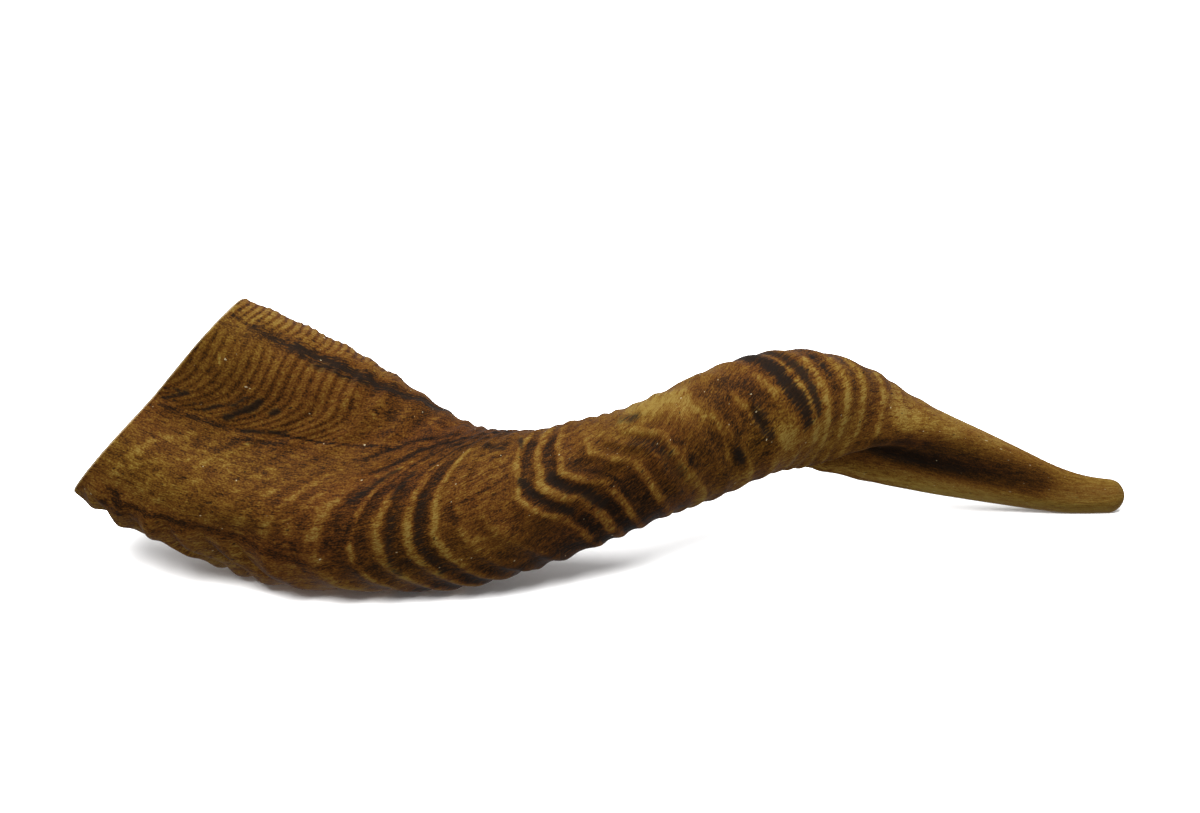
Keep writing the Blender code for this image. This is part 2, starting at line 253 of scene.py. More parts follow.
def growth_at(along, around):
    """The growth line that passes through each place, named by where it crosses keel 1."""
    growth = along.copy()
    for _ in range(12):
        growth = along - growth_lean(growth, around)
    return growth


def place_section(along, offsets):
    """Points from offsets in the sections: towards the crease's side, then across."""
    faced, across = section_axes(along)
    return natural_spline(PLACES, CENTRES, along) + offsets[:, :1] * faced + offsets[:, 1:] * across


# Smooth noise and strokes, for both the relief and the markings.


def straight_places(along, around):
    """The skin laid out on a straight round bar, so that noise and fibres run along the horn."""
    angle = around * (2.0 * math.pi / len(LINES))
    bar = (along, STRAIGHT_RADIUS * np.cos(angle), STRAIGHT_RADIUS * np.sin(angle))
    return np.stack(bar, axis=1)


def wander(places, along_size, across_size, seed):
    """Smooth noise from about -1 to 1, with its own size along the horn and across it."""
    scaled = places / (along_size, across_size, across_size) + seed * 7.31
    return np.array([noise.noise(Vector(place)) for place in scaled])


def apart(around, line):
    """How far around from a line, the shorter way."""
    count = len(LINES)
    return (around - line + count / 2.0) % count - count / 2.0


def window(around, start, end, soft):
    """1 between two places around, fading softly past both."""
    middle = (start + end) / 2.0
    reach = (end - start) / 2.0
    return 1.0 - smooth_step((np.abs(apart(around, middle)) - reach) / soft)


def stretch(value, start, end, soft):
    """1 between two values, fading softly past both."""
    return smooth_step((value - start + soft) / soft) * smooth_step((end - value + soft) / soft)


def stroke(along, around, girth, path, width):
    """How close each place is to a stroke: 1 on its path, a half at its edges, 0 at its width away.
    The path is in mm along and in lines around, and the width in mm."""
    scale = girth / len(LINES)
    nearest = np.full(len(along), np.inf)
    for (start, start_line), (end, end_line) in zip(path, path[1:]):
        x = along - start * MM
        y = apart(around, start_line) * scale
        run = (end - start) * MM
        rise = apart(end_line, start_line) * scale
        part = np.clip((x * run + y * rise) / (run * run + rise * rise), 0.0, 1.0)
        nearest = np.minimum(nearest, np.hypot(x - run * part, y - rise * part))
    return 1.0 - smooth_step(nearest / (width * MM))


# The relief of the skin. Where something shows is given by from, to and how softly it fades past both,
# first along and then around.

RING_WAVE = 0.0005
FINE_RIDGE_GAP = 0.0028
FINE_RIDGE_HEIGHT = 0.00014
FINE_RIDGE_WAVE = 0.0010
FINE_RIDGE_DIVE = 0.0095
FINE_RIDGE_BEND = 7.42
FINE_RIDGE_REACH = 0.55
FINE_RIDGES_ALONG = (0.050, 0.096, 0.008)
FINE_RIDGES_AROUND = (6.95, 7.95, 0.12)
STRIP_RIDGE_GAP = 0.0023
STRIP_RIDGE_HEIGHT = 0.00020
STRIP_RIDGE_WAVE = 0.0011
STRIP_RIDGE_BOW = 0.0012
STRIP_MIDDLE = 6.38
STRIP_REACH = 0.28
STRIP_ALONG = (0.050, 0.108, 0.008)
STRIP_AROUND = (6.05, 6.55, 0.2)
NOTCH_GAP = 0.0085
NOTCH_DEPTH = 0.0012
NOTCH_WAVE = 0.003
NOTCHES_ALONG = (0.046, 0.092, 0.008)
NOTCHES_AROUND = (2.0, 3.3, 0.3)
KNOB_GAP = 0.0078
KNOB_HEIGHT = 0.0018
FIRST_KNOB = 0.0575
KNOBS_ALONG = (0.050, 0.066, 0.006)
KNOBS_AROUND = (1.95, 2.4, 0.35)
BELLY_FLAT = 0.0022
BELLY_ALONG = (0.081, 0.088, 0.008)
BELLY_AROUND = (1.9, 2.9, 0.5)
WAIST_SWELL = 0.0013
WAIST_ALONG = (0.172, 0.190, 0.014)
WAIST_AROUND = (0.5, 1.8, 0.6)
FIBRE_HEIGHT = 0.00005
LUMP_HEIGHT = 0.00016
SMOOTHER_FROM = 0.24
SMOOTHER_FADE = 0.05
GIRTH = 5.7

# Cracks and folds: the path in mm along and lines around, then the depth and the width in mm.
FOLDS = (
    (((213.2, 4.36), (213.9, 4.5), (214.6, 4.66)), 1.1, 1.5),
    (((57.6, 7.24), (59.5, 7.27), (61.2, 7.22)), 0.4, 0.9),
    (((58, 6.6), (70, 6.7), (76, 6.73), (82, 6.75), (90, 6.8), (98, 6.85),
      (107, 6.97), (116.5, 7.0), (125.5, 7.0)), 0.5, 2.8),
    (((50, 0.0), (80, 0.05), (90, 7.95), (102, 7.9), (115, 7.85), (123, 7.75), (135, 7.4)), 0.3, 2.4),
)


def ring_phase(growth):
    """Which ring a growth value follows, and how far past its crest it lies, from 0 to 1."""
    crests = np.array(RINGS)
    held = np.clip(growth, RINGS[0], RINGS[-1])
    ring = np.clip(np.searchsorted(crests, held, side="right") - 1, 0, len(RINGS) - 2)
    return ring, (held - crests[ring]) / (crests[ring + 1] - crests[ring])


def ring_drift(places):
    """The slow wandering that rings and ridges share."""
    return wander(places, 0.014, 0.009, 1)


def girth_at(along):
    """A fair measure of the way around the horn."""
    return GIRTH * natural_spline(PLACES, HALF_WIDTHS, along)[:, 0]


def region(along, around, along_limits, around_limits):
    """1 in a patch of the skin, fading softly past its four sides."""
    return stretch(along, *along_limits) * window(around, *around_limits)


def fine_ridges(along, around, drift):
    """Face D's fine ridges: the place that each ridge keeps, and where they are. They dive at the crease."""
    dive = np.maximum(apart(around, FINE_RIDGE_BEND), 0.0) / FINE_RIDGE_REACH
    place = along + FINE_RIDGE_DIVE * dive**2 + FINE_RIDGE_WAVE * drift
    return place, region(along, around, FINE_RIDGES_ALONG, FINE_RIDGES_AROUND)


def strip_ridges(along, around, drift):
    """The same for the bowed ridges of the strip above keel 3."""
    bow = (apart(around, STRIP_MIDDLE) / STRIP_REACH) ** 2
    place = along + STRIP_RIDGE_BOW * bow + STRIP_RIDGE_WAVE * drift
    return place, region(along, around, STRIP_ALONG, STRIP_AROUND)


def ring_relief(along, around, growth, drift, places):
    """How far the growth rings stand out."""
    _, past = ring_phase(growth + RING_WAVE * drift)
    height = np.maximum(eight_lines(RING_HEIGHTS, along, around)[:, 0], 0.0)
    fading = 1.0 - smooth_step((growth - RINGED_UNTIL) / (RINGS[-1] - RINGED_UNTIL))
    crest = (0.5 + 0.5 * np.cos(2.0 * math.pi * past)) ** RING_SHARPNESS
    return height * fading * crest * (1.0 + 0.25 * wander(places, 0.02, 0.008, 3))


def keel_relief(along, around, growth, drift, places):
    """The steps along the lower keel, the knobs at its corner, the belly's flat and the waist's swell."""
    beat = np.maximum(np.cos(2.0 * math.pi * (growth + NOTCH_WAVE * drift) / NOTCH_GAP), 0.0)
    uneven = 0.7 + 0.6 * wander(places, 0.008, 0.006, 10)
    notched = region(along, around, NOTCHES_ALONG, NOTCHES_AROUND)
    raised = NOTCH_DEPTH * notched * (0.4 - beat**3) * uneven
    knobs = 0.5 + 0.5 * np.cos(2.0 * math.pi * (along - FIRST_KNOB) / KNOB_GAP)
    raised += KNOB_HEIGHT * region(along, around, KNOBS_ALONG, KNOBS_AROUND) * (0.25 + 0.75 * knobs)
    raised -= BELLY_FLAT * region(along, around, BELLY_ALONG, BELLY_AROUND)
    raised += WAIST_SWELL * region(along, around, WAIST_ALONG, WAIST_AROUND)
    return raised


def relief(along, around):
    """How far the skin stands out of the smooth section."""
    growth = growth_at(along, around)
    places = straight_places(along, around)
    drift = ring_drift(places)
    raised = ring_relief(along, around, growth, drift, places)
    place, shown = fine_ridges(along, around, drift)
    raised += FINE_RIDGE_HEIGHT * shown * np.cos(2.0 * math.pi * place / FINE_RIDGE_GAP)
    place, shown = strip_ridges(along, around, drift)
    uneven = 0.6 + 0.8 * wander(places, 0.006, 0.006, 9)
    raised += STRIP_RIDGE_HEIGHT * shown * uneven * np.cos(2.0 * math.pi * place / STRIP_RIDGE_GAP)
    raised += keel_relief(along, around, growth, drift, places)
    fibres = wander(places, 0.009, 0.0014, 5) * FIBRE_HEIGHT
    lumps = wander(places, 0.011, 0.006, 7) * LUMP_HEIGHT
    rough = 1.0 - smooth_step((along - SMOOTHER_FROM) / SMOOTHER_FADE)
    raised += (fibres + lumps) * (0.35 + 0.65 * rough)
    girth = girth_at(along)
    for path, depth, width in FOLDS:
        raised -= depth * MM * stroke(along, around, girth, path, width)
    return raised


def section_offsets(along, around):
    """Where places lie in their sections, without relief."""
    return eight_lines(SECTIONS, along, around) * half_width(along)[:, None]


def outside(along, around):
    """Points of the outer surface without relief."""
    return place_section(along, section_offsets(along, around))


def skin(along, around):
    """Points of the outer surface with its relief."""
    offsets = section_offsets(along, around)
    radius = np.linalg.norm(offsets, axis=1, keepdims=True)
    raised = relief(along, around)[:, None]
    return place_section(along, offsets * (1.0 + raised / np.maximum(radius, TIP_ROUNDING)))


def hollow(along, around, taper):
    """Points of the hollow's wall, drawn in towards the centre line by a taper from 1 to 0."""
    offsets = section_offsets(along, around)
    radius = np.linalg.norm(offsets, axis=1, keepdims=True)
    return place_section(along, offsets * (1.0 - WALL / radius) * taper)


def cut_normal():
    heading, rise = math.radians(CUT_HEADING), math.radians(CUT_RISE)
    return np.array((math.cos(heading) * math.cos(rise), math.sin(heading) * math.cos(rise), math.sin(rise)))


def meet_cut(surface, around):
    """How far along each line of a surface meets the saw cut, by halving."""
    low = np.full(len(around), CUT_SEARCH[0])
    high = np.full(len(around), CUT_SEARCH[1])
    for _ in range(40):
        middle = (low + high) / 2.0
        sawn_away = (surface(middle, around) - CUT_POINT) @ cut_normal() > 0.0
        low = np.where(sawn_away, middle, low)
        high = np.where(sawn_away, high, middle)
    return (low + high) / 2.0


def outer_places(around):
    """Rows of places on the skin, from the saw cut to just before the tip's end point."""
    at_cut = meet_cut(outside, around)
    first = np.full(len(around), CUT_GROWTH)
    to_cut = at_cut - first - growth_lean(first, around)
    last = LENGTH - TIP_ROUNDING
    ringed = np.linspace(CUT_GROWTH, RINGS[-1], ROWS_UNTIL_SMOOTH, endpoint=False)
    smooth = np.linspace(RINGS[-1], last, SMOOTH_ROWS)
    rows = []
    for growth in np.concatenate([ringed, smooth]):
        line = np.full(len(around), growth)
        along = line + growth_lean(line, around)
        along += to_cut * (1.0 - smooth_step((growth - CUT_GROWTH) / CUT_BLEND))
        rows.append(np.minimum(along, last))
    for row in range(1, TIP_ROWS + 1):
        past = TIP_ROUNDING * math.sin(0.5 * math.pi * row / (TIP_ROWS + 1))
        rows.append(np.full(len(around), last + past))
    return np.array(rows)


def hollow_points(around):
    """Rows of points in the hollow, from just before its inner end back to the saw cut."""

    def open_hollow(along, at_around):
        return hollow(along, at_around, 1.0)

    at_cut = meet_cut(open_hollow, around)
    rows = []
    for row in range(HOLLOW_ROWS):
        depth = 1.0 - (row + 1) / HOLLOW_ROWS
        along = at_cut + (HOLLOW_END - at_cut) * depth
        points = hollow(along, around, (1.0 - depth) ** HOLLOW_TAPER)
        places = straight_places(along, around)
        rough = 0.0005 * wander(places, 0.03, 0.0035, 11) + 0.0004 * wander(places, 0.008, 0.008, 12)
        middle = natural_spline(PLACES, CENTRES, along)
        inward = middle - points
        inward /= np.maximum(np.linalg.norm(inward, axis=1, keepdims=True), 0.001)
        rows.append(points + inward * (rough * smooth_step(depth / 0.06))[:, None])
    return rows


# The markings, painted by rule: a stroke gives its path in mm along and lines around, its width in mm and
# its strength. Only how close a place is to the stroke is kept on the vertices. The material frays it
# into fibres and cuts its edge.

# The skin's tone before rings, from 0 black-brown to 1 palest, on the eight lines.
TONES = {
    1: (0.5, 0.55, 0.56, 0.58, 0.44, 0.46, 0.64, 0.52),
    2: (0.48, 0.55, 0.54, 0.58, 0.42, 0.46, 0.62, 0.52),
    3: (0.4, 0.5, 0.5, 0.54, 0.4, 0.44, 0.52, 0.47),
    4: (0.32, 0.47, 0.53, 0.5, 0.36, 0.42, 0.44, 0.42),
    5: (0.4, 0.5, 0.56, 0.5, 0.36, 0.42, 0.42, 0.42),
    6: (0.46, 0.6, 0.72, 0.68, 0.56, 0.56, 0.5, 0.44),
    7: (0.5, 0.54, 0.58, 0.54, 0.5, 0.6, 0.6, 0.52),
    8: (0.34, 0.6, 0.7, 0.58, 0.54, 0.6, 0.56, 0.38),
    9: (0.38, 0.84, 0.84, 0.7, 0.66, 0.82, 0.78, 0.48),
    10: (0.64, 0.86, 0.84, 0.72, 0.66, 0.82, 0.76, 0.6),
    12: (0.82, 0.84, 0.82, 0.74, 0.7, 0.78, 0.8, 0.8),
}

# Light lines that follow the rings: growth in mm, between which lines around, width in mm, strength.
LIGHT_RINGS = (
    (55, 1.0, 5.6, 1.6, 0.35), (60, 0.2, 1.6, 1.2, 0.46), (66, 0.2, 1.6, 1.3, 0.5),
    (72.5, 0.2, 1.6, 1.3, 0.46), (79, 0.2, 1.7, 1.3, 0.46), (86, 0.3, 1.9, 1.5, 0.5),
    (92, 0.5, 2.0, 1.8, 0.56), (67, 2.2, 5.6, 1.8, 0.45), (74, 2.2, 5.6, 1.6, 0.45),
    (83, 2.2, 5.6, 1.8, 0.5), (97.5, 1.1, 1.8, 2.0, 0.6), (97.5, 2.2, 5.6, 2.0, 0.5),
    (103.3, 1.1, 3.6, 3.4, 0.85), (111, 1.1, 3.2, 1.1, 0.75), (116.5, 1.2, 4.4, 2.6, 0.85),
    (122.8, 1.2, 4.6, 2.0, 0.95), (128.4, 0.8, 4.8, 1.7, 1.1), (134.5, 1.9, 3.0, 1.7, 0.6),
    (134.5, 3.6, 6.0, 1.7, 0.6), (140.5, 2.0, 6.0, 1.5, 0.55), (150.5, 0.9, 6.2, 1.5, 0.95),
    (156.2, 0.9, 6.2, 2.7, 0.9), (162.3, 1.2, 6.2, 2.0, 0.85), (170.2, 1.6, 6.2, 2.0, 0.8),
    (179.8, 1.8, 6.2, 2.4, 0.85), (187, 4.4, 6.4, 2.0, 0.5), (194, 2.0, 6.4, 2.0, 0.8),
    (202, 4.6, 6.6, 1.8, 0.5), (209, 4.8, 6.6, 2.0, 0.5),
)

# How much wider than stated the light lines are painted, because the material's edge narrows them again.
RING_SPREAD = 1.45

# Dark bands beside them, frayed into fibres: growth from and to, lines around, strength.
DARK_RINGS = (
    (62.4, 63.6, 0.2, 1.6, 0.42), (75, 76.4, 0.2, 1.7, 0.4), (82, 83.4, 0.3, 1.8, 0.38),
    (88, 90, 0.5, 2.0, 0.44), (94, 95.6, 1.0, 2.0, 0.46),
    (58, 61, 2.3, 5.6, 0.4), (69, 71, 2.3, 5.6, 0.4), (77, 80, 2.3, 5.6, 0.45),
    (86, 92, 2.4, 5.6, 0.45), (99, 101.5, 1.5, 5.6, 0.5), (105, 109.5, 1.0, 5.0, 0.62),
    (112.2, 115, 1.0, 5.2, 0.75), (118.2, 121.3, 1.1, 5.4, 0.85), (124.4, 127.2, 0.9, 5.4, 1.0),
    (130, 133, 1.8, 5.6, 0.45), (136, 139.2, 1.9, 5.6, 0.42), (142, 149, 2.0, 5.8, 0.45),
    (151.8, 154.4, 1.2, 6.0, 0.9), (158.4, 160.8, 1.3, 6.0, 0.9), (163.8, 168.8, 1.9, 6.0, 0.72),
    (172, 176, 1.9, 6.0, 0.5), (182, 190, 2.6, 6.0, 0.6), (196, 200, 3.1, 6.0, 0.5),
)

# Dark red-brown strokes.
DARK_STROKES = (
    (((47, 6.5), (52, 6.55), (60, 6.6), (70, 6.7), (76, 6.73)), 1.3, 0.85),
    (((70, 6.73), (82, 6.8), (90, 6.85), (98, 6.9), (107, 7.02), (116.5, 7.05), (125.5, 7.0)), 6.0, 0.75),
    (((54.5, 0.1), (60.5, 0.12), (66, 0.08), (70, 0.08), (75.8, 0.05)), 1.4, 0.95),
    (((77.5, 0.17), (87, 0.1)), 1.5, 0.9),
    (((86, 7.95), (96, 7.95), (107, 7.95), (114, 0.0)), 1.3, 0.85),
    (((54.6, 1.76), (57.4, 1.86)), 3.4, 1.1),
    (((53, 1.7), (56, 1.86), (64, 1.8), (70, 1.8), (76, 1.84)), 2.0, 1.1),
    (((70, 1.78), (80, 1.86), (84, 1.93), (90, 1.96), (99, 2.12), (108, 2.32)), 3.6, 0.8),
    (((96.5, 1.85), (98, 1.8), (99.8, 1.92), (101.5, 1.86)), 3.8, 1.15),
    (((104.5, 1.75), (106, 1.9)), 2.6, 0.9),
    (((89, 1.8), (92, 1.9)), 2.2, 0.6),
    (((112, 0.9), (115, 0.75)), 2.4, 0.55),
    (((130, 2.4), (133, 2.7), (137, 3.0)), 2.0, 0.6),
    (((148, 2.5), (151, 2.8)), 2.4, 0.55),
    (((52.5, 1.98), (57, 2.04), (62, 2.06)), 2.6, 0.85),
    (((106.5, 1.6), (107, 1.85), (108.5, 2.1)), 2.2, 0.85),
    (((109, 1.45), (109.2, 1.8)), 1.8, 0.85),
    (((112.5, 1.7), (113, 2.1), (113.5, 2.45)), 1.5, 0.95),
    (((96, 1.2), (98, 1.5), (100, 1.75)), 3.0, 0.45),
    (((106, 1.35), (107, 1.7), (108, 1.9)), 3.0, 0.7),
    (((99, 7.3), (99.5, 7.6)), 2.4, 0.5),
    (((110, 7.25), (110.5, 7.5)), 2.6, 0.55),
    (((120, 7.3), (119, 7.55)), 2.6, 0.5),
    (((110, 0.55), (116.5, 0.35), (120.5, 0.15), (129, 0.1), (140, 0.15), (151, 0.35)), 1.8, 0.95),
    (((106, 0.25), (112, 0.05), (120, 7.9), (132, 7.9)), 1.6, 0.8),
    (((116, 0.85), (121, 0.5), (128, 0.3), (138, 0.28)), 1.3, 0.8),
    (((121, 1.0), (125, 0.7), (131, 0.5), (140, 0.42), (149, 0.5)), 1.4, 0.75),
    (((117, 1.15), (118.5, 0.95), (118.7, 0.72)), 2.2, 0.85),
    (((140.5, 0.75), (145, 0.85), (149, 0.95)), 2.2, 0.85),
    (((132, 1.75), (134.2, 1.95)), 2.4, 1.0),
    (((131, 1.65), (137, 1.65), (148, 1.55)), 1.1, 0.9),
    (((136, 1.45), (143, 1.38), (150, 1.3)), 0.9, 0.75),
    (((135, 1.85), (141, 1.78), (147, 1.75)), 0.9, 0.7),
    (((159.5, 1.35), (158.8, 1.65)), 2.2, 0.9),
    (((153, 1.2), (152.2, 1.45)), 1.6, 0.8),
    (((166, 2.15), (169, 2.45), (171.3, 2.75), (173.8, 3.1), (175, 3.3)), 1.3, 1.0),
    (((140, 3.1), (149, 3.7), (158, 3.8), (168, 4.15), (183, 4.3)), 4.5, 0.7),
    (((176, 2.3), (180, 2.5), (184, 2.9), (187, 3.3)), 5.0, 0.55),
    (((190.2, 3.35), (192.2, 3.6)), 2.0, 0.75),
    (((192.6, 3.98), (193.6, 4.12)), 3.0, 0.95),
    (((200.6, 4.1), (202.4, 4.35)), 3.0, 0.9),
    (((196, 1.7), (200, 2.2), (203, 2.7)), 4.0, 0.45),
    (((203, 3.2), (206, 3.7), (206.5, 4.4)), 5.5, 0.72),
    (((209, 3.6), (214, 4.0), (217, 4.4)), 5.0, 0.7),
    (((205.6, 4.6), (206.2, 4.85)), 3.6, 1.0),
    (((213.5, 4.1), (215, 4.55), (214.5, 4.95)), 4.5, 0.7),
    (((220.5, 3.4), (223.4, 4.2), (225.3, 4.85)), 5.0, 0.7),
    (((232.5, 4.0), (234.3, 4.6), (234.6, 5.3)), 3.0, 0.62),
    (((238.5, 4.2), (240.3, 4.7), (240.3, 5.4)), 2.4, 0.55),
    (((244.5, 4.5), (246.6, 5.1), (246.6, 5.7)), 4.0, 0.55),
    (((253, 4.9), (254, 5.6)), 3.0, 0.45),
    (((234, 6.8), (246, 7.2), (256, 7.5), (268, 7.7), (282, 7.6), (296, 7.5), (308, 7.6)), 11, 0.85),
    (((250, 6.2), (262, 6.6), (275, 6.9), (288, 7.1)), 4.6, 0.62),
    (((282, 6.2), (287, 6.6)), 4.0, 0.45),
)

# Near-black strokes. The first ten, along the crease where face D's fine ridges dive into it, are painted
# shadow.
BLACK_STROKES = (
    (((52, 7.9), (57, 7.8)), 1.0, 0.95),
    (((54.5, 8.0), (59.5, 7.8)), 1.5, 1.0),
    (((61, 7.95), (64, 7.86)), 1.1, 0.75),
    (((65, 7.95), (69, 7.8), (72, 7.75), (73.5, 7.62)), 1.5, 0.9),
    (((71.2, 7.95), (74, 7.8), (76.2, 7.72), (77.5, 7.6)), 2.5, 1.0),
    (((73.6, 7.62), (74.4, 7.6)), 1.5, 0.9),
    (((81.4, 7.72), (82.4, 7.66)), 2.2, 0.9),
    (((67, 7.87), (68, 7.83)), 1.5, 0.8),
    (((76.5, 0.05), (82, 7.98), (86.5, 7.92)), 1.4, 1.05),
    (((79, 0.2), (84.5, 0.12), (88, 0.1)), 1.0, 0.8),
    (((80, 6.77), (90, 6.84), (98, 6.9), (107, 7.0), (116.5, 7.02), (127, 7.0)), 4.4, 0.95),
    (((88, 6.88), (96, 6.95), (104, 7.03)), 5.6, 0.85),
    (((70, 6.73), (76, 6.76), (80, 6.77)), 2.2, 0.7),
    (((83, 6.88), (90, 6.95)), 3.4, 0.75),
    (((107.5, 1.1), (110.5, 0.95), (113, 0.75), (116, 0.6)), 2.6, 0.85),
    (((117.2, 1.2), (119, 0.95), (121, 0.75)), 2.2, 0.75),
    (((118, 1.55), (118.7, 1.8), (119, 2.05), (120.5, 2.4), (123, 2.7)), 1.9, 0.7),
    (((124.5, 1.3), (124.5, 1.6), (125.3, 2.0), (126.8, 2.25), (129.5, 2.55), (133, 2.9)), 2.5, 0.72),
    (((151.3, 1.75), (153, 1.9), (155, 2.15), (157, 2.4), (160, 2.8), (162.5, 3.1)), 2.2, 1.0),
    (((159.5, 1.95), (161.5, 2.25), (163.5, 2.55), (165.8, 2.8), (167.5, 3.05), (170, 3.4)), 2.7, 1.0),
    (((180.5, 2.65), (183, 2.85), (185.3, 3.1), (187, 3.4), (187.5, 3.65), (189, 4.0)), 4.0, 0.62),
    (((181, 1.75), (184.5, 2.0)), 4.0, 0.7),
    (((143, 0.9), (147.5, 1.02)), 1.8, 0.75),
    (((152.5, 0.9), (153, 1.15)), 2.2, 0.8),
    (((205.8, 4.62), (206.4, 4.8)), 2.2, 0.95),
    (((214.2, 4.42), (215.4, 4.75)), 3.4, 0.8),
    (((217, 3.1), (220.5, 3.5), (223, 4.05), (224, 4.4), (224.5, 4.6), (225.7, 4.75), (225.9, 5.0)),
     3.0, 1.05),
    (((222, 3.3), (226, 3.9), (228, 4.3), (228.8, 4.5), (229.1, 4.75), (229.2, 5.0)), 2.2, 1.0),
    (((233.2, 4.3), (234.6, 4.75)), 1.2, 0.75),
    (((234, 7.3), (246, 7.6), (256, 7.8)), 8.0, 0.72),
    (((252, 7.8), (264, 8.0), (272, 7.95)), 6.0, 0.66),
    (((272, 7.95), (286, 7.75)), 4.0, 0.5),
)

# Light strokes. The last three, tiny and brighter than the rest, are painted glints.
LIGHT_STROKES = (
    (((65, 0.35), (62, 0.5), (57.5, 0.65), (55.5, 0.97), (53.5, 1.2), (52.5, 1.45)), 2.8, 0.72),
    (((62, 0.55), (75, 0.6)), 7.0, 0.45),
    (((55, 1.3), (60, 0.95), (68, 0.75), (80, 0.6)), 3.0, 0.5),
    (((61, 1.5), (67, 1.15), (76, 0.95)), 2.4, 0.42),
    (((48, 1.9), (51, 2.2)), 4.0, 0.5),
    (((57, 2.12), (66, 2.02), (76, 2.06), (86, 2.2), (96, 2.45)), 2.6, 0.55),
    (((111.5, 1.0), (114.5, 0.7), (116.5, 0.55), (120, 0.4)), 1.0, 0.9),
    (((122.5, 1.1), (124.5, 0.85), (127, 0.7)), 1.0, 0.6),
    (((136, 1.3), (145, 1.2)), 9.0, 0.45),
    (((139, 2.35), (141.5, 2.5)), 2.6, 0.72),
    (((144.5, 2.35), (147, 2.55)), 2.6, 0.68),
    (((142, 1.5), (147, 1.3)), 4.0, 0.5),
    (((173, 1.7), (176, 2.0), (179, 2.4)), 4.0, 0.55),
    (((201, 2.6), (204, 3.1)), 3.6, 0.5),
    (((133, 1.6), (134.5, 1.9), (136, 2.3)), 2.4, 0.5),
    (((98, 7.2), (97, 7.5)), 3.0, 0.4),
    (((107, 7.15), (106, 7.5)), 3.0, 0.45),
    (((116, 7.25), (114, 7.5)), 3.4, 0.4),
    (((125, 7.35), (123, 7.55)), 3.0, 0.35),
    (((90, 1.3), (96, 1.6), (100, 1.9)), 5.0, 0.4),
    (((187, 1.7), (191, 2.2), (194, 2.7), (198, 3.1)), 8.0, 1.05),
    (((206, 4.9), (210, 4.6)), 4.0, 0.5),
    (((199, 4.9), (203, 5.2)), 6.0, 0.55),
    (((189, 5.0), (193, 5.4)), 5.0, 0.5),
    (((198.5, 3.05), (200.2, 3.5), (202, 3.8), (203.5, 4.0), (203, 4.7)), 1.6, 0.8),
    (((211, 4.0), (213, 4.35)), 2.6, 0.85),
    (((218.6, 4.1), (220.4, 4.4)), 2.4, 0.75),
    (((217.8, 4.8), (219.3, 5.0)), 3.2, 0.85),
    (((221.6, 4.9), (221, 5.15)), 2.6, 0.8),
    (((227.5, 5.0), (228.2, 5.35)), 2.4, 0.8),
    (((226.6, 4.5), (227.4, 4.8)), 1.5, 1.0),
    (((224.6, 3.8), (226.2, 4.35)), 1.0, 0.85),
    (((231, 4.3), (231.6, 4.8), (231.8, 5.6)), 1.8, 0.85),
    (((236.6, 4.5), (237.5, 5.0), (237.5, 5.7)), 1.9, 0.8),
    (((241.5, 4.6), (243.3, 5.1), (243.3, 5.8)), 2.2, 0.85),
    (((249.6, 4.9), (250.8, 5.4), (250.4, 6.0)), 2.2, 0.8),
    (((257.5, 5.2), (258, 5.8)), 2.6, 0.85),
    (((255.5, 5.5), (259, 5.8), (263, 5.9)), 5.5, 1.1),
    (((264, 5.9), (272, 6.1), (278, 6.2)), 5.0, 0.6),
    (((239, 1.3), (255, 1.4), (275, 1.5), (300, 1.6)), 5.0, 0.6),
    # Painted glints, the last beside the crack at 214 mm.
    (((63.2, 7.2), (64.4, 7.3)), 0.7, 1.3),
    (((69.6, 6.33), (70.4, 6.36)), 0.7, 1.3),
    (((214.7, 4.38), (215, 4.5)), 0.7, 1.3),
)


# On the far side, where nothing is listed, every ring has a light crest and a dark foot. That
# side's window turns with the section: its edges near the base, and how far they go on towards the tip.
FAR_FROM = 3.6
FAR_TO = 6.1
FAR_FROM_TURN = 2.4
FAR_TO_TURN = 1.5
FAR_LIGHT = 0.60
FAR_DARK = 0.50

# The thin light line along the saw cut's edge.
CUT_EDGE_LIGHT = 1.2
CUT_EDGE_WIDTH = 0.0011


def far_side(along, around):
    turned = smooth_step((along - 0.150) / 0.06)
    return window(around, FAR_FROM + FAR_FROM_TURN * turned, FAR_TO + FAR_TO_TURN * turned, 0.5)


def laid_over(strokes, along, around, girth):
    """The strongest of the strokes at each place."""
    strongest = np.zeros(len(along))
    for path, width, strength in strokes:
        strongest = np.maximum(strongest, strength * stroke(along, around, girth, path, width))
    return strongest


